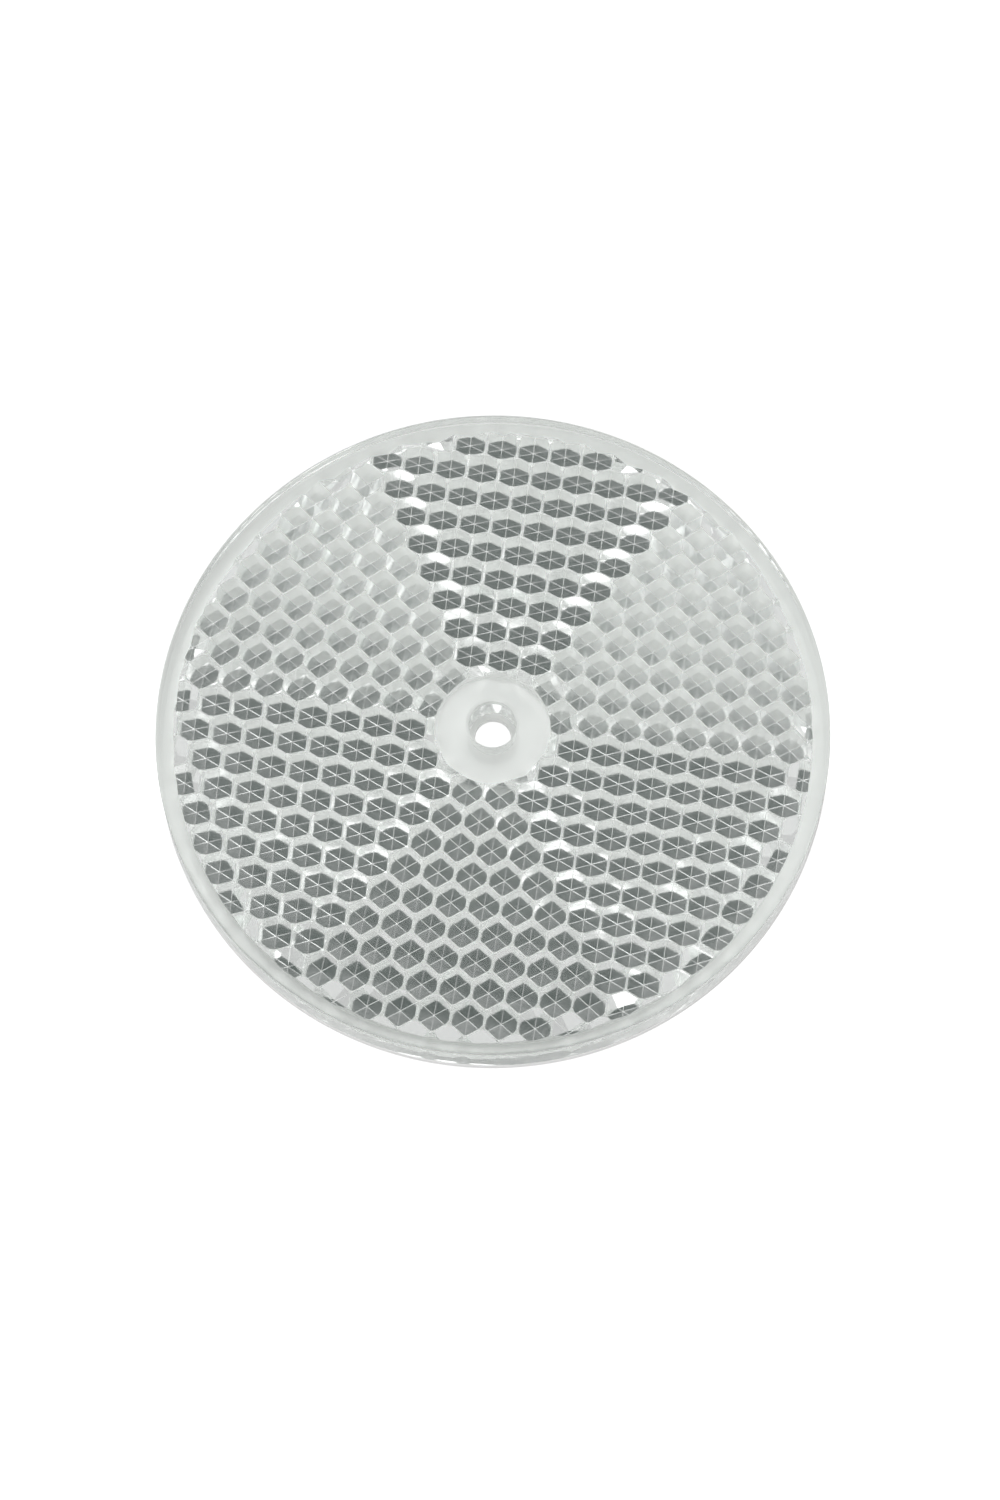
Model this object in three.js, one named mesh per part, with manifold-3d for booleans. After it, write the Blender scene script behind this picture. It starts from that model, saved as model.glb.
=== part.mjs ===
// Round prismatic retroreflector with a centre fixing hole.
//
// A clear acrylic lens has corner-cube prisms on its inner side, and a white cover is welded behind it.
// The prisms keep dry in the closed air space between the two. Millimetres, +Z up: the flat back lies in
// z = 0, the light enters from +Z, and the origin is on the axis of the disc.
import * as THREE from "three";
import { mergeVertices } from "three/addons/utils/BufferGeometryUtils.js";
import Module from "manifold-3d";

const wasm = await Module();
wasm.setup();

// Outline of the disc
const outerRadius = 42; // back cover, which is the widest piece
const coverThickness = 1.5;
const holeRadius = 2.25; // in the cover, clears an M4 screw
const holeStep = 0.75; // how much wider the hole is in the lens
const holeChamfer = 0.3;

// Lens
const lensInset = 0.1; // the lens foot stands this far inside the cover's edge
const draft = 0.15; // the lens narrows by this much from its foot to its front
const frontEdgeRadius = 0.6;
const footChamfer = 0.2; // lens side of the groove that shows where the two pieces meet
const rimWidth = 2.2; // solid ring outside the prisms
const hubRadius = 7.2; // solid boss round the hole

// Prisms: hexagonal cells, each ending in a cube's corner
const cellPitch = 4.1; // across the flats of a cell
const tipClearance = 0.25; // prism tips to the inside of the cover
const frontSkin = 1.4; // solid acrylic between the prisms and the front

// Back cover
const coverEdgeRadius = 0.5; // outer edge of the back
const coverChamfer = 0.2; // cover side of the groove
const landWidth = 3.4; // flat ring that the back stands on
const padRadius = 9; // flat pad round the hole
const recessDepth = 0.4;
const ribWidth = 1.4;
const sectorCount = 6; // prism sectors, and one rib of the back behind each

// What follows from the sizes above
const weldLevel = coverThickness; // the lens meets the cover here
const lensHoleRadius = holeRadius + holeStep;
const fieldRadius = outerRadius - lensInset - rimWidth;
const cellRadius = cellPitch / Math.sqrt(3); // centre of a cell to its corners
const prismDepth = cellPitch * Math.sqrt(2 / 3); // tip of a cube's corner to its far corners
const tipLevel = weldLevel + tipClearance;
const rootLevel = tipLevel + prismDepth; // deepest point of the air between the prisms
const frontLevel = rootLevel + frontSkin;

const lapIn = 0.3; // pieces of one solid run this far into each other before they are joined
const barLap = 0.03; // neighbouring cells overlap by this much, so that no crack stays between them
const plateUnderside = rootLevel + lapIn; // the front plate, before the prisms are joined to it
const barTop = plateUnderside + lapIn;
const roundSegments = 96;
const arcSegments = 4;

// A closed three.js geometry as a manifold-3d solid.
function solidFrom(geometry) {
  const bare = geometry.clone();
  bare.deleteAttribute("normal");
  bare.deleteAttribute("uv");
  const merged = mergeVertices(bare, 1e-4);
  return new wasm.Manifold(
    new wasm.Mesh({
      numProp: 3,
      vertProperties: merged.attributes.position.array,
      triVerts: new Uint32Array(merged.index.array),
    }),
  );
}

// A manifold-3d solid as a flat-shaded three.js geometry.
function geometryFrom(solid) {
  const mesh = solid.getMesh();
  const positions = new Float32Array(mesh.numVert * 3);
  for (let i = 0; i < mesh.numVert; i++) {
    positions.set(mesh.vertProperties.subarray(i * mesh.numProp, i * mesh.numProp + 3), i * 3);
  }
  const geometry = new THREE.BufferGeometry();
  geometry.setAttribute("position", new THREE.BufferAttribute(positions, 3));
  geometry.setIndex(new THREE.BufferAttribute(mesh.triVerts, 1));
  const flat = geometry.toNonIndexed();
  flat.computeVertexNormals();
  return flat;
}

// A solid of revolution about Z. The outline is a list of [radius, z] corners, anticlockwise, and closes itself.
function turned(outline) {
  const points = [...outline, outline[0]].map(([radius, z]) => new THREE.Vector2(radius, z));
  const lathe = new THREE.LatheGeometry(points, roundSegments);
  return solidFrom(lathe.rotateX(Math.PI / 2));
}

// Corners of an arc in the [radius, z] plane, from one angle to another in degrees.
function arcCorners(centreRadius, centreZ, radius, fromDegrees, toDegrees) {
  return Array.from({ length: arcSegments + 1 }, (_, i) => {
    const angle = THREE.MathUtils.degToRad(fromDegrees + ((toDegrees - fromDegrees) * i) / arcSegments);
    return [centreRadius + radius * Math.cos(angle), centreZ + radius * Math.sin(angle)];
  });
}

// A point at a distance from the axis in a direction, in degrees from +X.
function polar(distance, degrees) {
  return new THREE.Vector2(distance, 0).rotateAround(new THREE.Vector2(), THREE.MathUtils.degToRad(degrees));
}

// One prism, with its tip in the origin: a hexagonal bar whose lower end is the corner of a cube.
// One edge of the cube rises from the tip towards the given direction.
function prismBar(edgeDegrees) {
  const length = barTop - tipLevel;
  const barRadius = cellRadius + barLap;
  const bar = new THREE.CylinderGeometry(barRadius, barRadius, length, 6);
  bar.rotateX(Math.PI / 2).translate(0, 0, length / 2);

  const cubeEdge = 2 * length;
  const cube = new THREE.BoxGeometry(cubeEdge, cubeEdge, cubeEdge);
  cube.rotateZ(Math.PI / 4).rotateX(Math.atan(Math.SQRT2));
  cube.translate(0, 0, (cubeEdge * Math.sqrt(3)) / 2);
  cube.rotateZ(THREE.MathUtils.degToRad(edgeDegrees - 270));
  return solidFrom(bar).intersect(solidFrom(cube));
}

// Cell centres of one sector: a triangle of rows that widens outwards along the sector's own direction.
// The cells of all sectors share one hexagonal grid with a corner of three cells on the axis, so the
// first cell of every other sector lies one cell radius from the axis, and two for those between.
function sectorCells(sector, degrees) {
  const start = cellRadius * (sector % 2 === 1 ? 1 : 2);
  const rows = Math.ceil(fieldRadius / cellPitch) + 2;
  const cells = [];
  for (let left = 0; left <= rows; left++) {
    for (let right = 0; right <= rows; right++) {
      const cell = polar(start, degrees)
        .add(polar(left * cellPitch, degrees + 30))
        .add(polar(right * cellPitch, degrees - 30));
      const distance = cell.length();
      if (distance < fieldRadius + cellRadius && distance > hubRadius - cellRadius) cells.push(cell);
    }
  }
  return cells;
}

// Every prism between the hub and the rim. The cubes turn by a sixth of a turn from sector to sector.
function prismField() {
  const bars = [];
  for (let sector = 0; sector < sectorCount; sector++) {
    const degrees = 30 + sector * (360 / sectorCount);
    const bar = prismBar(degrees);
    for (const cell of sectorCells(sector, degrees)) bars.push(bar.translate([cell.x, cell.y, tipLevel]));
  }
  const ring = turned([
    [hubRadius - lapIn, tipLevel - lapIn],
    [fieldRadius + lapIn, tipLevel - lapIn],
    [fieldRadius + lapIn, barTop + lapIn],
    [hubRadius - lapIn, barTop + lapIn],
  ]);
  return wasm.Manifold.union(bars).intersect(ring);
}

// The clear moulding: front plate, rim and hub in one, with the prisms hanging below the plate.
function lensSolid() {
  const footRadius = outerRadius - lensInset;
  const frontRadius = footRadius - draft;
  const body = turned([
    [lensHoleRadius, weldLevel],
    [hubRadius, weldLevel],
    [hubRadius, plateUnderside],
    [fieldRadius, plateUnderside],
    [fieldRadius, weldLevel],
    [footRadius - footChamfer, weldLevel],
    [footRadius, weldLevel + footChamfer],
    ...arcCorners(frontRadius - frontEdgeRadius, frontLevel - frontEdgeRadius, frontEdgeRadius, 0, 90),
    [lensHoleRadius + holeChamfer, frontLevel],
    [lensHoleRadius, frontLevel - holeChamfer],
  ]);
  return body.add(prismField());
}

// The white plate behind the lens. Its back is recessed between the outer land and the pad round the hole.
function coverSolid() {
  const landRadius = outerRadius - landWidth;
  const plate = turned([
    [holeRadius + holeChamfer, 0],
    [padRadius, 0],
    [padRadius, recessDepth],
    [landRadius, recessDepth],
    [landRadius, 0],
    ...arcCorners(outerRadius - coverEdgeRadius, coverEdgeRadius, coverEdgeRadius, -90, 0),
    [outerRadius, weldLevel - coverChamfer],
    [outerRadius - coverChamfer, weldLevel],
    [holeRadius, weldLevel],
    [holeRadius, holeChamfer],
  ]);
  const ribLength = landRadius - padRadius + 2 * lapIn;
  const ribs = Array.from({ length: sectorCount }, (_, i) => {
    const rib = new THREE.BoxGeometry(ribLength, ribWidth, recessDepth + lapIn);
    rib.translate(padRadius - lapIn + ribLength / 2, 0, (recessDepth + lapIn) / 2);
    return solidFrom(rib.rotateZ((i * 2 * Math.PI) / sectorCount));
  });
  return wasm.Manifold.union([plate, ...ribs]);
}

function namedMesh(name, solid, material) {
  const mesh = new THREE.Mesh(geometryFrom(solid), material);
  mesh.name = name;
  return mesh;
}

const clearAcrylic = new THREE.MeshStandardMaterial({
  color: 0xdfe5e1,
  roughness: 0.08,
  metalness: 0,
  transparent: true,
  opacity: 0.45,
});
const whitePlastic = new THREE.MeshStandardMaterial({ color: 0xe6e6e4, roughness: 0.5, metalness: 0 });

const reflector = new THREE.Group();
reflector.add(namedMesh("lens", lensSolid(), clearAcrylic));
reflector.add(namedMesh("back_cover", coverSolid(), whitePlastic));

export default reflector;
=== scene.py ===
"""Looks of a round prismatic reflector: a clear corner-cube lens welded to a white back cover.

Everything is in metres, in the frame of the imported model: +Z along the disc's axis, the back in z = 0.
"""

import logging
import math
from dataclasses import dataclass, field
from enum import Enum

import bmesh
import bpy
from mathutils import Matrix, Vector
from mathutils.kdtree import KDTree


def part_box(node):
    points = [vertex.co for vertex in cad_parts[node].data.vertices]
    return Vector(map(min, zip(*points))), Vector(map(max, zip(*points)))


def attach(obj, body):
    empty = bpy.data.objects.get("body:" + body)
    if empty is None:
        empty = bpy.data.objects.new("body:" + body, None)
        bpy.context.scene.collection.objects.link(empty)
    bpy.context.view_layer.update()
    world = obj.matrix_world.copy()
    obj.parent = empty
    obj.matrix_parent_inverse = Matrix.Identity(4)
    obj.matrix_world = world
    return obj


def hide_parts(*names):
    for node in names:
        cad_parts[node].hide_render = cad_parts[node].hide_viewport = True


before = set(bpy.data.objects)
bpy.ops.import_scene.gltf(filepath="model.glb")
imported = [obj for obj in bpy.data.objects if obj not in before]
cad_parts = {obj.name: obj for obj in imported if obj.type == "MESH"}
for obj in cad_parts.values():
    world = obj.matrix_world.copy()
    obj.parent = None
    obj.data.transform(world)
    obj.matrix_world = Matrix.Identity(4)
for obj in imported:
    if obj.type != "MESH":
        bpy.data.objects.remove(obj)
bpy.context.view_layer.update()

LOG = logging.getLogger("reflector")
MM = 0.001
CLOUD_SCALE = 0.35
STREAK_STRETCH = (1.0, 0.03, 1.0)
STREAK_START = 0.68
STREAK_END = 0.72


# --------------------------------------------------------------------------------------------------
# Mesh helpers
# --------------------------------------------------------------------------------------------------


def arc(
    centre: tuple[float, float], radius: float, start: float, end: float, steps: int
) -> list[tuple[float, float]]:
    """Corners of an arc in the (radius, height) plane.

    Args:
        centre: Centre of the arc.
        radius: Radius of the arc.
        start: First angle in degrees, from the outward direction.
        end: Last angle in degrees.
        steps: Number of straight pieces.

    Returns:
        The corners from start to end.
    """
    angles = [math.radians(start + (end - start) * i / steps) for i in range(steps + 1)]
    return [(centre[0] + radius * math.cos(a), centre[1] + radius * math.sin(a)) for a in angles]


def turned(outline: list[tuple[float, float]], steps: int) -> bmesh.types.BMesh:
    """A closed solid of revolution about Z.

    Args:
        outline: Corners as (radius, height), which close on themselves.
        steps: Number of straight pieces round the axis.

    Returns:
        The solid, with its faces pointing out.
    """
    solid = bmesh.new()
    corners = [solid.verts.new((radius, 0.0, height)) for radius, height in outline]
    for i, corner in enumerate(corners):
        solid.edges.new((corner, corners[(i + 1) % len(corners)]))
    bmesh.ops.spin(
        solid,
        geom=solid.verts[:] + solid.edges[:],
        cent=(0.0, 0.0, 0.0),
        axis=(0.0, 0.0, 1.0),
        angle=2.0 * math.pi,
        steps=steps,
        use_merge=True,
    )
    bmesh.ops.recalc_face_normals(solid, faces=solid.faces[:])
    return solid


def new_object(name: str, solid: bmesh.types.BMesh) -> bpy.types.Object:
    """Turns a bmesh into an object in the scene and frees the bmesh.

    Args:
        name: Name of the object and its mesh.
        solid: The shape.

    Returns:
        The new object, at the origin.
    """
    mesh = bpy.data.meshes.new(name)
    solid.to_mesh(mesh)
    solid.free()
    made = bpy.data.objects.new(name, mesh)
    bpy.context.scene.collection.objects.link(made)
    return made


def combine(base: bpy.types.Object, other: bpy.types.Object, how: str) -> None:
    """Joins or cuts a solid with another one, and removes the other.

    Args:
        base: The solid that is changed.
        other: The solid that is joined, cut away or kept in common.
        how: UNION, DIFFERENCE or INTERSECT.
    """
    step = base.modifiers.new("combine", "BOOLEAN")
    step.operation = how
    step.object = other
    step.solver = "EXACT"
    evaluated = base.evaluated_get(bpy.context.evaluated_depsgraph_get())
    result = bpy.data.meshes.new_from_object(evaluated)
    base.modifiers.clear()
    spent = [base.data, other.data]
    base.data = result
    bpy.data.objects.remove(other)
    for mesh in spent:
        bpy.data.meshes.remove(mesh)


def shade(piece: bpy.types.Object, crease: float = 28.0) -> None:
    """Shades round surfaces smooth and keeps flat ones flat.

    Args:
        piece: The piece.
        crease: Edges sharper than this many degrees stay sharp.
    """
    piece.data.shade_smooth()
    piece.data.set_sharp_from_angle(angle=math.radians(crease))
    weighted = piece.modifiers.new("flat_faces_lead", "WEIGHTED_NORMAL")
    weighted.keep_sharp = True
    weighted.weight = 100


# --------------------------------------------------------------------------------------------------
# Materials
# --------------------------------------------------------------------------------------------------


class Nodes:
    """Short ways to place and link the nodes of one tree."""

    def __init__(self, tree: bpy.types.NodeTree) -> None:
        """Empties the tree and keeps it.

        Args:
            tree: The node tree that is filled.
        """
        self.tree = tree
        tree.nodes.clear()

    def add(self, kind: str, settings: dict | None = None, **inputs: object) -> bpy.types.Node:
        """Adds a node, sets it up, and sets or links its inputs.

        Args:
            kind: Node type, without the ShaderNode prefix.
            settings: Attributes of the node itself.
            **inputs: Values or output sockets by input name, with _ for each space.

        Returns:
            The node.
        """
        full = kind if kind.startswith("Node") else "ShaderNode" + kind
        node = self.tree.nodes.new(full)
        for key, value in (settings or {}).items():
            setattr(node, key, value)
        for key, value in inputs.items():
            self.feed(node, key.replace("_", " "), value)
        return node

    def feed(self, node: bpy.types.Node, name: str, value: object) -> None:
        """Sets an input's value, or links it to an output socket.

        Args:
            node: The node.
            name: Name of the input.
            value: A value or an output socket.
        """
        socket = next(s for s in node.inputs if s.name == name and s.enabled)
        if isinstance(value, bpy.types.NodeSocket):
            self.tree.links.new(value, socket)
        else:
            socket.default_value = value

    def math(self, operation: str, first: object, second: object) -> bpy.types.NodeSocket:
        """Adds a sum, difference or product of two values.

        Args:
            operation: Name of the operation.
            first: A number or an output socket.
            second: A number or an output socket.

        Returns:
            The result's socket.
        """
        node = self.tree.nodes.new("ShaderNodeMath")
        node.operation = operation
        for socket, value in zip(node.inputs, (first, second)):
            if isinstance(value, bpy.types.NodeSocket):
                self.tree.links.new(value, socket)
            else:
                socket.default_value = value
        return node.outputs[0]

    def noise(self, place: bpy.types.NodeSocket, scale: object, detail: float) -> bpy.types.NodeSocket:
        """Adds soft noise.

        Args:
            place: Where it is read.
            scale: How many bumps to the metre.
            detail: How many finer layers it has.

        Returns:
            The noise, from 0 to 1.
        """
        return self.add("TexNoise", Vector=place, Scale=scale, Detail=detail).outputs["Fac"]

    def ramp(self, value: bpy.types.NodeSocket, low: float, high: float) -> bpy.types.NodeSocket:
        """Adds a smooth step from 0 at low to 1 at high.

        Args:
            value: The value that is read.
            low: Where the step starts.
            high: Where the step ends.

        Returns:
            The step's socket.
        """
        step = self.add(
            "MapRange", {"interpolation_type": "SMOOTHSTEP"}, Value=value, From_Min=low, From_Max=high
        )
        return step.outputs["Result"]

    def shaded(self, colour: tuple[float, float, float, float], shade: object) -> bpy.types.NodeSocket:
        """Adds a colour that a shade darkens.

        Args:
            colour: The colour at its lightest.
            shade: The socket of a factor, at most 1.

        Returns:
            The colour's socket.
        """
        scaled = self.add("VectorMath", {"operation": "SCALE"}, Vector=colour[:3], Scale=shade)
        return scaled.outputs["Vector"]


class Marks(Enum):
    """Direction of the fine scratches on a face."""

    ACROSS = 0.0
    ALONG = math.pi / 2.0


def link_group(tree: bpy.types.NodeTree, kinds: dict[str, str], way: str) -> None:
    """Gives a node group its sockets.

    Args:
        tree: The node group.
        kinds: Socket type by socket name, without the NodeSocket prefix.
        way: INPUT or OUTPUT.
    """
    for name, kind in kinds.items():
        tree.interface.new_socket(name=name, in_out=way, socket_type="NodeSocket" + kind)


def moulded_surface_group() -> bpy.types.NodeTree:
    """The surface of a moulded plastic part: waves, grain, handling scratches and a cloudy shade.

    Returns:
        The node group.
    """
    name = "moulded_surface"
    if name in bpy.data.node_groups:
        return bpy.data.node_groups[name]
    tree = bpy.data.node_groups.new(name, "ShaderNodeTree")
    nodes = Nodes(tree)
    sizes = ["Wave Size", "Wave Height", "Grain Size", "Grain Height", "Scratch Size", "Scratch Turn"]
    levels = ["Roughness", "Roughness Spread", "Scratch Roughness", "Shade Depth"]
    link_group(tree, {"Place": "Vector", **{n: "Float" for n in sizes + levels}}, "INPUT")
    link_group(tree, {"Height": "Float", "Roughness": "Float", "Shade": "Float"}, "OUTPUT")
    given = nodes.add("NodeGroupInput").outputs
    wave = nodes.noise(given["Place"], given["Wave Size"], detail=1.0)
    grain = nodes.noise(given["Place"], given["Grain Size"], detail=3.0)
    cloud = nodes.noise(given["Place"], nodes.math("MULTIPLY", given["Wave Size"], CLOUD_SCALE), detail=4.0)
    turned_place = nodes.add(
        "VectorRotate", {"rotation_type": "Z_AXIS"}, Vector=given["Place"], Angle=given["Scratch Turn"]
    )
    stretched = nodes.add("VectorMath", {"operation": "MULTIPLY"}, Vector=turned_place.outputs["Vector"])
    stretched.inputs[1].default_value = STREAK_STRETCH
    streak = nodes.noise(stretched.outputs["Vector"], given["Scratch Size"], detail=2.0)
    scratch = nodes.ramp(streak, STREAK_START, STREAK_END)
    wave_height = nodes.math("MULTIPLY", wave, given["Wave Height"])
    grain_height = nodes.math("MULTIPLY", grain, given["Grain Height"])
    spread = nodes.math("MULTIPLY", nodes.math("SUBTRACT", cloud, 0.5), given["Roughness Spread"])
    scratched = nodes.math("MULTIPLY", scratch, given["Scratch Roughness"])
    rough = nodes.math("ADD", nodes.math("ADD", given["Roughness"], spread), scratched)
    shade = nodes.math("SUBTRACT", 1.0, nodes.math("MULTIPLY", cloud, given["Shade Depth"]))
    nodes.add(
        "NodeGroupOutput",
        Height=nodes.math("ADD", wave_height, grain_height),
        Roughness=rough,
        Shade=shade,
    )
    return tree


@dataclass(frozen=True)
class Moulding:
    """Sizes of a moulded surface's detail, in metres, and its roughness levels."""

    wave_size: float
    wave_height: float
    grain_size: float
    grain_height: float
    roughness: float
    roughness_spread: float
    scratch_roughness: float
    shade_depth: float
    scratch_size: float = 0.35 * MM
    scratches: Marks = Marks.ACROSS

    def place(self, nodes: Nodes) -> bpy.types.Node:
        """Adds the moulded surface to a material.

        Args:
            nodes: The material's nodes.

        Returns:
            The group node, with outputs Height, Roughness and Shade.
        """
        group = nodes.add("Group", {"node_tree": moulded_surface_group()})
        values = {
            "Place": nodes.add("TexCoord").outputs["Object"],
            "Wave Size": 1.0 / self.wave_size,
            "Wave Height": self.wave_height,
            "Grain Size": 1.0 / self.grain_size,
            "Grain Height": self.grain_height,
            "Scratch Size": 1.0 / self.scratch_size,
            "Scratch Turn": self.scratches.value,
            "Roughness": self.roughness,
            "Roughness Spread": self.roughness_spread,
            "Scratch Roughness": self.scratch_roughness,
            "Shade Depth": self.shade_depth,
        }
        for name, value in values.items():
            nodes.feed(group, name, value)
        return group


@dataclass(frozen=True)
class ClearAcrylic:
    """Clear moulded acrylic: faint waves in the faces, a little haze and a few handling scratches."""

    name: str = "clear_acrylic"
    tint: tuple[float, float, float, float] = (0.955, 0.975, 0.962, 1.0)
    ior: float = 1.469
    surface: Moulding = Moulding(
        wave_size=1.3 * MM,
        wave_height=0.004 * MM,
        grain_size=0.12 * MM,
        grain_height=0.00002 * MM,
        roughness=0.09,
        roughness_spread=0.02,
        scratch_roughness=0.05,
        shade_depth=0.02,
    )

    def build(self) -> bpy.types.Material:
        """Builds the material.

        Returns:
            The material.
        """
        material = bpy.data.materials.new(self.name)
        material.use_nodes = True
        nodes = Nodes(material.node_tree)
        surface = self.surface.place(nodes).outputs
        bump = nodes.add("Bump", Height=surface["Height"], Strength=1.0, Distance=1.0)
        shader = nodes.add(
            "BsdfPrincipled",
            Base_Color=nodes.shaded(self.tint, surface["Shade"]),
            Roughness=surface["Roughness"],
            IOR=self.ior,
            Transmission_Weight=1.0,
            Normal=bump.outputs["Normal"],
        )
        nodes.add("OutputMaterial", Surface=shader.outputs[0])
        return material


@dataclass(frozen=True)
class WhiteCoverPlastic:
    """White moulded plastic with a fine satin grain."""

    name: str = "white_cover_plastic"
    colour: tuple[float, float, float, float] = (0.94, 0.935, 0.93, 1.0)
    surface: Moulding = Moulding(
        wave_size=9.0 * MM,
        wave_height=0.02 * MM,
        grain_size=0.16 * MM,
        grain_height=0.006 * MM,
        roughness=0.42,
        roughness_spread=0.16,
        scratch_roughness=0.12,
        shade_depth=0.05,
        scratches=Marks.ALONG,
    )

    def build(self) -> bpy.types.Material:
        """Builds the material.

        Returns:
            The material.
        """
        material = bpy.data.materials.new(self.name)
        material.use_nodes = True
        nodes = Nodes(material.node_tree)
        surface = self.surface.place(nodes).outputs
        bump = nodes.add("Bump", Height=surface["Height"], Strength=1.0, Distance=1.0)
        shader = nodes.add(
            "BsdfPrincipled",
            Base_Color=nodes.shaded(self.colour, surface["Shade"]),
            Roughness=surface["Roughness"],
            Normal=bump.outputs["Normal"],
        )
        nodes.add("OutputMaterial", Surface=shader.outputs[0])
        return material


# --------------------------------------------------------------------------------------------------
# Sub-assemblies
# --------------------------------------------------------------------------------------------------


@dataclass
class PrismField:
    """The corner-cube prisms: hexagonal pins in six sectors whose cubes turn by a sixth of a turn."""

    inner_radius: float
    outer_radius: float
    tip_level: float
    top_level: float
    pitch: float = 4.1 * MM
    groove: float = 0.18 * MM
    edge_flat: float = 0.06 * MM
    corner_flat: float = 0.36 * MM
    valley_fill: float = 0.22 * MM
    weld: float = 0.002 * MM
    steepest: float = 0.1
    first_sector: float = 30.0
    sectors: int = 6
    cube_faces: tuple[float, float, float] = (60.0, 180.0, 300.0)
    row_spread: float = 30.0

    @property
    def grid_radius(self) -> float:
        """Centre of a cell to its corners, were there no grooves."""
        return self.pitch / math.sqrt(3.0)

    @property
    def pin_radius(self) -> float:
        """Centre of a pin to its corners."""
        return (self.pitch - self.groove) / math.sqrt(3.0)

    @property
    def root_level(self) -> float:
        """Where the front plate's underside cuts off the deepest corners of the air between the pins."""
        return self.tip_level + math.sqrt(2.0) * self.pin_radius - self.valley_fill

    def _cell(self) -> bmesh.types.BMesh:
        """Builds one cell on the axis, with one edge of its cube rising from the tip towards +X.

        Returns:
            The cell's underside and top, open at the sides.
        """
        cell = bmesh.new()
        radius = self.pin_radius
        height = self.top_level - self.tip_level
        bmesh.ops.create_cone(
            cell, cap_ends=True, segments=6, radius1=radius, radius2=radius, depth=2.0 * height
        )
        bmesh.ops.rotate(cell, verts=cell.verts[:], matrix=Matrix.Rotation(math.pi / 2.0, 3, "Z"))
        upright = [e for e in cell.edges if (e.verts[0].co - e.verts[1].co).xy.length < self.weld]
        self._bevel(cell, upright, self.corner_flat, 2)
        for degrees in self.cube_faces:
            face = Matrix.Rotation(math.radians(degrees), 3, "Z") @ Vector((math.sqrt(2.0), 0.0, -1.0))
            everything = cell.verts[:] + cell.edges[:] + cell.faces[:]
            bmesh.ops.bisect_plane(
                cell, geom=everything, plane_co=Vector(), plane_no=face, clear_outer=True
            )
            bmesh.ops.contextual_create(cell, geom=[e for e in cell.edges if e.is_boundary])
        tip = min(cell.verts, key=lambda corner: corner.co.length)
        self._bevel(cell, list(tip.link_edges), self.edge_flat, 1)
        cell.normal_update()
        cube = [f for f in cell.faces if f.normal.z < -self.steepest]
        bmesh.ops.delete(cell, geom=[f for f in cell.faces if f not in cube], context="FACES")
        zigzag = [e for e in cell.edges if e.is_boundary]
        near = radius / math.sqrt(2.0)
        far = radius * math.sqrt(2.0)
        bmesh.ops.bridge_loops(cell, edges=zigzag + self._border(cell, near, far))
        bmesh.ops.contextual_create(cell, geom=self._border(cell, height, height))
        return cell

    def _border(self, cell: bmesh.types.BMesh, near: float, far: float) -> list[bmesh.types.BMEdge]:
        """Draws the hexagon that a cell shares with its neighbours, each side in two halves.

        Args:
            cell: The cell.
            near: Height of the corners above the cube's edges.
            far: Height of the other three corners.

        Returns:
            The hexagon's edges.
        """
        corners = bmesh.ops.create_circle(cell, segments=12, radius=self.grid_radius)["verts"]
        for corner in corners:
            bearing = math.atan2(corner.co.y, corner.co.x)
            if math.cos(6.0 * bearing) < 0.0:
                corner.co.xy *= math.cos(math.pi / 6.0)
            rise = (1.0 - math.cos(3.0 * bearing)) / 2.0
            corner.co.z = near + (far - near) * rise
        return list(dict.fromkeys(e for corner in corners for e in corner.link_edges))

    def _add_walls(self, cells: bmesh.types.BMesh) -> None:
        """Closes the cells with upright walls between border edges that lie one above the other.

        Args:
            cells: All the cells, welded.
        """
        borders = [e for e in cells.edges if e.is_boundary]
        tree = KDTree(len(borders))
        for i, border in enumerate(borders):
            tree.insert(self._flat_middle(border), i)
        tree.balance()
        corners = self._columns(cells)
        for i, border in enumerate(borders):
            above = [found[1] for found in tree.find_range(self._flat_middle(border), self.weld)]
            if max(above) != i or len(above) != 2:
                continue
            other = borders[min(above)]
            first, last = (self._climb(corners, corner, other) for corner in border.verts)
            cells.faces.new(dict.fromkeys(first[::-1] + last))

    @staticmethod
    def _flat_middle(border: bmesh.types.BMEdge) -> Vector:
        """Middle of an edge, laid flat on the floor."""
        middle = (border.verts[0].co + border.verts[1].co) / 2.0
        return Vector((middle.x, middle.y, 0.0))

    def _columns(self, cells: bmesh.types.BMesh) -> dict[bmesh.types.BMVert, list[bmesh.types.BMVert]]:
        """Finds the border corners that stand above and below each border corner.

        Args:
            cells: All the cells, welded.

        Returns:
            For each border corner, every border corner at its place, from the lowest up.
        """
        corners = [v for v in cells.verts if v.is_boundary]
        tree = KDTree(len(corners))
        for i, corner in enumerate(corners):
            tree.insert((corner.co.x, corner.co.y, 0.0), i)
        tree.balance()
        columns = {}
        for corner in corners:
            found = tree.find_range((corner.co.x, corner.co.y, 0.0), self.weld)
            columns[corner] = sorted((corners[f[1]] for f in found), key=lambda v: v.co.z)
        return columns

    def _climb(
        self,
        columns: dict[bmesh.types.BMVert, list[bmesh.types.BMVert]],
        start: bmesh.types.BMVert,
        border: bmesh.types.BMEdge,
    ) -> list[bmesh.types.BMVert]:
        """Walks straight up or down from a corner to an edge.

        Args:
            columns: The corners at each place, from the lowest up.
            start: The corner where the walk starts.
            border: The edge where it ends.

        Returns:
            The corners on the way, both ends among them.
        """
        column = columns[start]
        end = next(v for v in border.verts if v in column)
        first, last = column.index(start), column.index(end)
        if first <= last:
            return column[first : last + 1]
        return column[last : first + 1][::-1]

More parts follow.
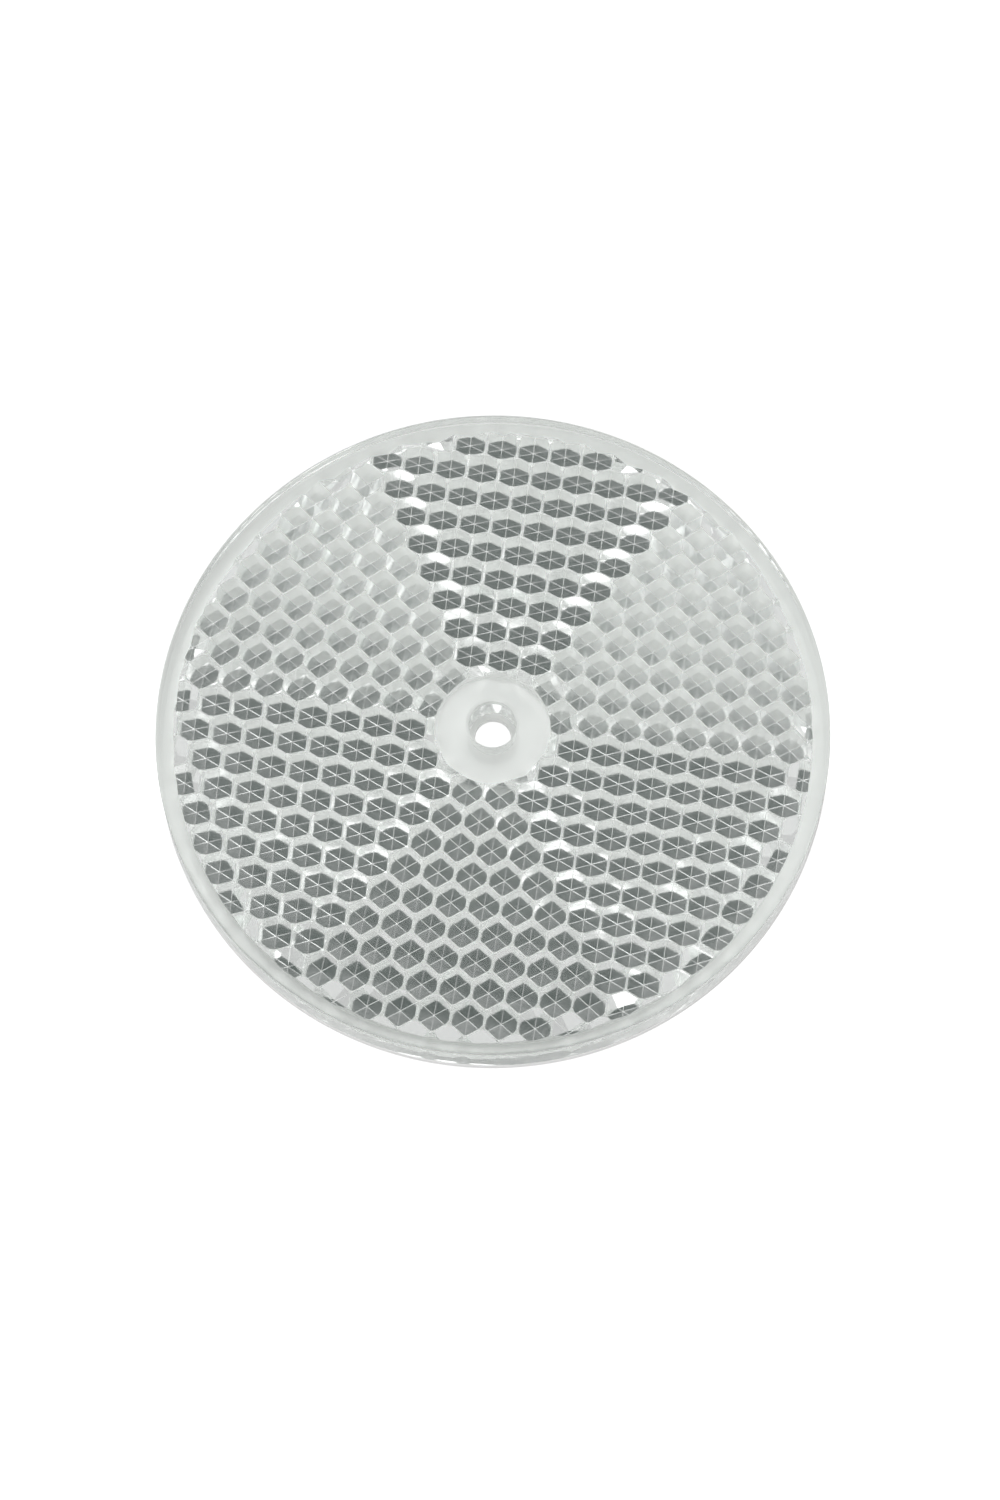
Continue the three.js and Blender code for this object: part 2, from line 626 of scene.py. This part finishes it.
    @staticmethod
    def _bevel(
        pin: bmesh.types.BMesh, edges: list[bmesh.types.BMEdge], offset: float, segments: int
    ) -> None:
        """Takes edges off a pin.

        Args:
            pin: The pin.
            edges: Its edges to bevel.
            offset: How far the bevel reaches along each face.
            segments: Number of flats across the bevel.
        """
        bmesh.ops.bevel(
            pin,
            geom=edges,
            offset=offset,
            offset_type="OFFSET",
            affect="EDGES",
            segments=segments,
            profile=0.5,
            material=-1,
        )

    def _centres(self, sector: int, degrees: float) -> list[Vector]:
        """Centres of one sector's pins, in rows that widen outwards.

        Args:
            sector: Number of the sector.
            degrees: Direction of the sector's middle.

        Returns:
            The centres, at the height of the tips.
        """
        start = self.grid_radius * (1 if sector % 2 else 2)
        rows = math.ceil(self.outer_radius / self.pitch) + 2
        ways = [
            Matrix.Rotation(math.radians(degrees + turn), 3, "Z") @ Vector((1.0, 0.0, 0.0))
            for turn in (0.0, self.row_spread, -self.row_spread)
        ]
        centres = [
            ways[0] * start + (ways[1] * left + ways[2] * right) * self.pitch
            for left in range(rows)
            for right in range(rows)
        ]
        lift = Vector((0.0, 0.0, self.tip_level))
        nearest = self.inner_radius - self.grid_radius
        farthest = self.outer_radius + self.grid_radius
        return [centre + lift for centre in centres if nearest < centre.length < farthest]

    def build(self, name: str, steps: int) -> bpy.types.Object:
        """Builds the prisms, cut to a ring.

        Args:
            name: Name of the object.
            steps: Number of straight pieces round the ring's walls.

        Returns:
            The prisms.
        """
        pins = bmesh.new()
        cell = self._cell()
        pattern = bpy.data.meshes.new(name + "_cell")
        cell.to_mesh(pattern)
        cell.free()
        for sector in range(self.sectors):
            degrees = self.first_sector + sector * 360.0 / self.sectors
            for centre in self._centres(sector, degrees):
                known = len(pins.verts)
                pins.from_mesh(pattern)
                place = Matrix.Translation(centre) @ Matrix.Rotation(math.radians(degrees), 4, "Z")
                bmesh.ops.transform(pins, matrix=place, verts=pins.verts[known:])
        bpy.data.meshes.remove(pattern)
        bmesh.ops.remove_doubles(pins, verts=pins.verts[:], dist=self.weld)
        self._add_walls(pins)
        bmesh.ops.recalc_face_normals(pins, faces=pins.faces[:])
        LOG.info("prisms: %d open edges", sum(1 for e in pins.edges if len(e.link_faces) != 2))
        block = new_object(name, pins)
        low = self.tip_level - self.pitch
        high = self.top_level + self.pitch
        outline = [
            (self.inner_radius, low),
            (self.outer_radius, low),
            (self.outer_radius, high),
            (self.inner_radius, high),
        ]
        ring = turned(outline, steps)
        combine(block, new_object(name + "_ring", ring), "INTERSECT")
        return block


@dataclass
class Lens:
    """The clear moulding: front plate, rim, hub and prisms in one."""

    radius: float
    weld_level: float
    front_level: float
    hole_radius: float = 3.0 * MM
    hole_chamfer: float = 0.3 * MM
    hub_radius: float = 7.2 * MM
    rim_width: float = 2.2 * MM
    draft: float = 0.15 * MM
    front_edge_radius: float = 0.6 * MM
    foot_chamfer: float = 0.2 * MM
    tip_clearance: float = 0.25 * MM
    foot_gap: float = 0.03 * MM
    lap: float = 0.3 * MM
    steps: int = 256
    edge_steps: int = 8
    finish: ClearAcrylic = field(default_factory=ClearAcrylic)

    def build(self) -> bpy.types.Object:
        """Builds the lens and dresses it.

        Returns:
            The lens.
        """
        field_radius = self.radius - self.rim_width
        prisms = PrismField(
            inner_radius=self.hub_radius - self.lap,
            outer_radius=field_radius + self.lap,
            tip_level=self.weld_level + self.tip_clearance,
            top_level=self.front_level - self.front_edge_radius,
        )
        underside = prisms.root_level
        front_radius = self.radius - self.draft
        edge = self.front_edge_radius
        foot = self.weld_level + self.foot_gap
        outline = [
            (self.hole_radius, foot),
            (self.hub_radius, foot),
            (self.hub_radius, underside),
            (field_radius, underside),
            (field_radius, foot),
            (self.radius - self.foot_chamfer, foot),
            (self.radius, self.weld_level + self.foot_chamfer),
            *arc((front_radius - edge, self.front_level - edge), edge, 0.0, 90.0, self.edge_steps),
            (self.hole_radius + self.hole_chamfer, self.front_level),
            (self.hole_radius, self.front_level - self.hole_chamfer),
        ]
        lens = new_object("clear_lens", turned(outline, self.steps))
        combine(lens, prisms.build("prisms", self.steps), "UNION")
        shade(lens)
        lens.data.materials.clear()
        lens.data.materials.append(self.finish.build())
        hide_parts("lens")
        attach(lens, "root")
        return lens


@dataclass
class BackCover:
    """The white plate that closes the lens from behind: rim land and screw pad joined by ribs."""

    radius: float
    thickness: float
    hole_radius: float = 2.25 * MM
    hole_chamfer: float = 0.3 * MM
    edge_radius: float = 0.5 * MM
    groove_chamfer: float = 0.2 * MM
    land_width: float = 3.4 * MM
    pad_radius: float = 9.0 * MM
    recess: float = 0.4 * MM
    ease: float = 0.12 * MM
    rib_width: float = 1.4 * MM
    rib_count: int = 6
    ejector_ring: float = 30.0 * MM
    ejector_radius: float = 2.0 * MM
    ejector_height: float = 0.06 * MM
    mark_steps: int = 40
    lap: float = 0.3 * MM
    steps: int = 256
    edge_steps: int = 8
    ease_steps: int = 3
    finish: WhiteCoverPlastic = field(default_factory=WhiteCoverPlastic)

    @property
    def land_radius(self) -> float:
        """Inner radius of the flat ring under the rim."""
        return self.radius - self.land_width

    def _rib(self) -> bmesh.types.BMesh:
        """Builds the rib along +X.

        Returns:
            The rib, with its long lower edges eased.
        """
        rib = bmesh.new()
        length = self.land_radius - self.pad_radius + 2.0 * self.lap
        height = self.recess + self.lap
        bmesh.ops.create_cube(rib, size=1.0)
        bmesh.ops.scale(rib, vec=(length, self.rib_width, height), verts=rib.verts[:])
        place = (self.pad_radius - self.lap + length / 2.0, 0.0, height / 2.0)
        bmesh.ops.translate(rib, vec=place, verts=rib.verts[:])
        low = [e for e in rib.edges if all(v.co.z < self.ease for v in e.verts)]
        long_edges = [e for e in low if e.calc_length() > length / 2.0]
        bmesh.ops.bevel(
            rib,
            geom=long_edges,
            offset=self.ease,
            offset_type="OFFSET",
            affect="EDGES",
            segments=self.ease_steps,
            profile=0.5,
            material=-1,
        )
        return rib

    def _ejector_mark(self) -> bmesh.types.BMesh:
        """Builds the low round pad that an ejector pin leaves, halfway between two ribs.

        Returns:
            The pad, sunk into the recess's ceiling.
        """
        mark = bmesh.new()
        depth = self.ejector_height + self.lap
        radius = self.ejector_radius
        bmesh.ops.create_cone(
            mark, cap_ends=True, segments=self.mark_steps, radius1=radius, radius2=radius, depth=depth
        )
        middle = math.radians(180.0 / self.rib_count)
        place = Vector((math.cos(middle), math.sin(middle), 0.0)) * self.ejector_ring
        place.z = self.recess - self.ejector_height + depth / 2.0
        bmesh.ops.translate(mark, vec=place, verts=mark.verts[:])
        return mark

    def _around(self, name: str, shape: bmesh.types.BMesh) -> bpy.types.Object:
        """Repeats a shape once for each rib.

        Args:
            name: Name of the object.
            shape: The shape, which is freed.

        Returns:
            All the copies as one object.
        """
        pattern = bpy.data.meshes.new(name)
        shape.to_mesh(pattern)
        shape.free()
        copies = bmesh.new()
        for i in range(self.rib_count):
            known = len(copies.verts)
            copies.from_mesh(pattern)
            copies.verts.ensure_lookup_table()
            turn = Matrix.Rotation(i * 2.0 * math.pi / self.rib_count, 4, "Z")
            bmesh.ops.transform(copies, matrix=turn, verts=copies.verts[known:])
        bpy.data.meshes.remove(pattern)
        return new_object(name, copies)

    def build(self) -> bpy.types.Object:
        """Builds the cover and dresses it.

        Returns:
            The cover.
        """
        land = self.land_radius
        ease = self.ease
        edge = self.edge_radius
        outline = [
            (self.hole_radius + self.hole_chamfer, 0.0),
            *arc((self.pad_radius - ease, ease), ease, -90.0, 0.0, self.ease_steps),
            (self.pad_radius, self.recess),
            (land, self.recess),
            *arc((land + ease, ease), ease, 180.0, 270.0, self.ease_steps),
            *arc((self.radius - edge, edge), edge, -90.0, 0.0, self.edge_steps),
            (self.radius, self.thickness - self.groove_chamfer),
            (self.radius - self.groove_chamfer, self.thickness),
            (self.hole_radius, self.thickness),
            (self.hole_radius, self.hole_chamfer),
        ]
        cover = new_object("white_back_cover", turned(outline, self.steps))
        combine(cover, self._around("ribs", self._rib()), "UNION")
        combine(cover, self._around("ejector_marks", self._ejector_mark()), "UNION")
        shade(cover)
        cover.data.materials.clear()
        cover.data.materials.append(self.finish.build())
        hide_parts("back_cover")
        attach(cover, "root")
        return cover


# --------------------------------------------------------------------------------------------------
# Studio
# --------------------------------------------------------------------------------------------------


@dataclass(frozen=True)
class Softbox:
    """A square lamp that faces the disc, in metres and watts."""

    name: str
    place: tuple[float, float, float]
    size: float
    power: float

    def build(self) -> None:
        """Adds the lamp to the scene."""
        data = bpy.data.lights.new(self.name, "AREA")
        data.shape = "SQUARE"
        data.size = self.size
        data.energy = self.power
        light = bpy.data.objects.new(self.name, data)
        light.location = self.place
        light.rotation_euler = Vector(self.place).to_track_quat("Z", "Y").to_euler()
        bpy.context.scene.collection.objects.link(light)


@dataclass
class Studio:
    """Pale floor, soft light and camera."""

    front_level: float
    azimuth: float = 9.8
    elevation: float = 72.2
    roll: float = -2.0
    distance: float = 0.3558
    aim: tuple[float, float] = (0.82 * MM, -3.48 * MM)
    lens_mm: float = 69.3
    floor_size: float = 6.0
    floor_gap: float = 0.02 * MM
    wall_light: tuple[float, float, float, float] = (0.57, 0.57, 0.57, 1.0)
    ceiling_light: tuple[float, float, float, float] = (0.055, 0.075, 0.068, 1.0)
    ceiling_tilt: float = 19.0
    shadow_core: float = 6.5
    shadow_edge: float = 15.0
    floor_glow: float = 0.75
    floor_fill: float = 0.3
    lamps: tuple[Softbox, ...] = (
        Softbox("top_softbox", place=(0.0, 1.0, 1.5), size=1.4, power=7.5),
        Softbox("front_softbox", place=(-0.3, -1.2, 0.9), size=1.0, power=4.2),
    )

    def _place_camera(self) -> None:
        """Adds the camera, aimed at a point of the disc's front."""
        turn = Matrix.Rotation(math.radians(self.azimuth), 3, "Z")
        tilt = math.radians(self.elevation)
        back = turn @ Vector((0.0, -math.cos(tilt), math.sin(tilt)))
        right = turn @ Vector((1.0, 0.0, 0.0))
        up = back.cross(right)
        roll = math.radians(self.roll)
        right, up = (
            right * math.cos(roll) + up * math.sin(roll),
            up * math.cos(roll) - right * math.sin(roll),
        )
        aim = turn @ Vector((*self.aim, 0.0)) + Vector((0.0, 0.0, self.front_level))
        data = bpy.data.cameras.new("camera")
        data.lens = self.lens_mm
        data.sensor_width = 36.0
        data.clip_start = 0.01
        camera = bpy.data.objects.new("camera", data)
        axes = Matrix((right, up, back)).transposed().to_4x4()
        camera.matrix_world = Matrix.Translation(aim + back * self.distance) @ axes
        bpy.context.scene.collection.objects.link(camera)
        bpy.context.scene.camera = camera

    def _add_floor(self) -> None:
        """Adds the pale floor, which can be seen through from below."""
        sheet = bmesh.new()
        bmesh.ops.create_grid(sheet, x_segments=1, y_segments=1, size=self.floor_size / 2.0)
        bmesh.ops.translate(sheet, verts=sheet.verts, vec=(0.0, 0.0, -self.floor_gap))
        floor = new_object("floor", sheet)
        material = bpy.data.materials.new("floor_paper")
        material.use_nodes = True
        nodes = Nodes(material.node_tree)
        seen = nodes.add("LightPath").outputs["Is Camera Ray"]
        extra = nodes.math("MULTIPLY", seen, self.floor_glow - self.floor_fill)
        paper = nodes.add(
            "BsdfPrincipled",
            Base_Color=(0.5, 0.5, 0.5, 1.0),
            Roughness=0.9,
            Emission_Color=(1.0, 1.0, 1.0, 1.0),
            Emission_Strength=nodes.math("ADD", extra, self.floor_fill),
        )
        behind = nodes.add("NewGeometry").outputs["Backfacing"]
        clear = nodes.add("BsdfTransparent")
        sheet_look = nodes.add("MixShader")
        for socket, value in zip(sheet_look.inputs, (behind, paper.outputs[0], clear.outputs[0])):
            nodes.tree.links.new(value, socket)
        nodes.add("OutputMaterial", Surface=sheet_look.outputs[0])
        floor.data.materials.append(material)

    def _add_world(self) -> None:
        """Adds the pale room, with a dim patch overhead."""
        world = bpy.data.worlds.new("studio")
        world.use_nodes = True
        nodes = Nodes(world.node_tree)
        tilt = math.radians(self.ceiling_tilt)
        turn = Matrix.Rotation(math.radians(self.azimuth), 3, "Z")
        middle = turn @ Vector((0.0, -math.sin(tilt), math.cos(tilt)))
        place = nodes.add("TexCoord")
        aligned = nodes.add("VectorMath", {"operation": "DOT_PRODUCT"})
        aligned.inputs[1].default_value = middle
        nodes.tree.links.new(place.outputs["Generated"], aligned.inputs[0])
        away = nodes.math("ARCCOSINE", aligned.outputs["Value"], 0.0)
        level = nodes.ramp(away, math.radians(self.shadow_core), math.radians(self.shadow_edge))
        light = nodes.add(
            "Mix", {"data_type": "RGBA"}, Factor=level, A=self.ceiling_light, B=self.wall_light
        )
        colour = next(socket for socket in light.outputs if socket.enabled)
        background = nodes.add("Background", Color=colour, Strength=1.0)
        nodes.add("OutputWorld", Surface=background.outputs[0])
        bpy.context.scene.world = world

    @staticmethod
    def _set_light_paths() -> None:
        """Lets light pass through the prisms' many faces and shows colours as they are."""
        scene = bpy.context.scene
        scene.view_settings.view_transform = "Standard"
        scene.cycles.max_bounces = 32
        scene.cycles.glossy_bounces = 24
        scene.cycles.transmission_bounces = 32
        scene.cycles.diffuse_bounces = 6
        scene.cycles.blur_glossy = 0.0

    def build(self) -> None:
        """Builds the studio."""
        self._set_light_paths()
        self._add_world()
        self._add_floor()
        for lamp in self.lamps:
            lamp.build()
        self._place_camera()


def main() -> None:
    """Builds the reflector and its studio."""
    logging.basicConfig(level=logging.INFO, format="%(name)s: %(message)s")
    lens_low, lens_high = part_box("lens")
    cover_low, cover_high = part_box("back_cover")
    lens = Lens(radius=lens_high.x, weld_level=lens_low.z, front_level=lens_high.z)
    cover = BackCover(radius=cover_high.x, thickness=cover_high.z)
    for piece in (lens.build(), cover.build()):
        LOG.info("%s: %d faces", piece.name, len(piece.data.polygons))
    Studio(front_level=lens_high.z).build()


if __name__ == "__main__":
    main()
